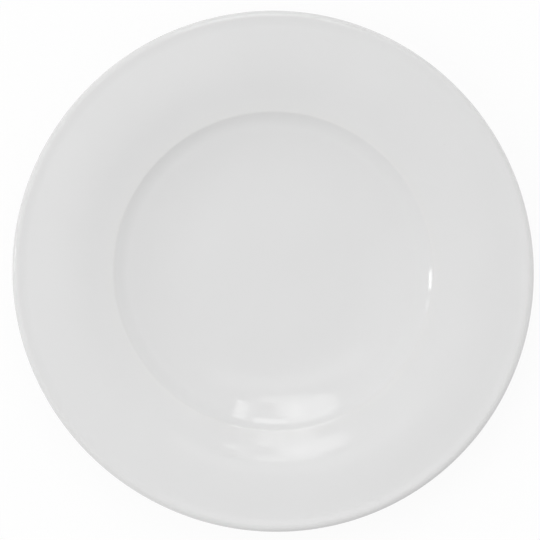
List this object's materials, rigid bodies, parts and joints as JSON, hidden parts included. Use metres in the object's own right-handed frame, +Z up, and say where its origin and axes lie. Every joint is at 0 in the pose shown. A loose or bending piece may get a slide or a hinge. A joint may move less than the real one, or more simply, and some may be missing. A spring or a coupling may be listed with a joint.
{
  "type": "broad rim plate",
  "caption": "Round white glazed porcelain plate with a dished well, a crisp shoulder, a broad rim that flattens outwards, a rolled lip and a bare foot ring, for serving food.",
  "frame": {"origin": "centre of the foot ring's standing face, on the table", "axes": "+Z up along the plate's axis; X and Y lie in the table, and the plate is the same all round"},
  "size_m": [0.305, 0.305, 0.029],
  "materials": {
    "bare_porcelain": "fired, unglazed and ground smooth where it stands",
    "white_glaze": "white gloss glaze, fired on",
    "base_glaze": "white gloss glaze, fired on"
  },
  "bodies": {
    "root": {"porcelain_body": "bare_porcelain", "glaze_coat": "white_glaze", "base_glaze": "base_glaze"}
  },
  "joints": []
}
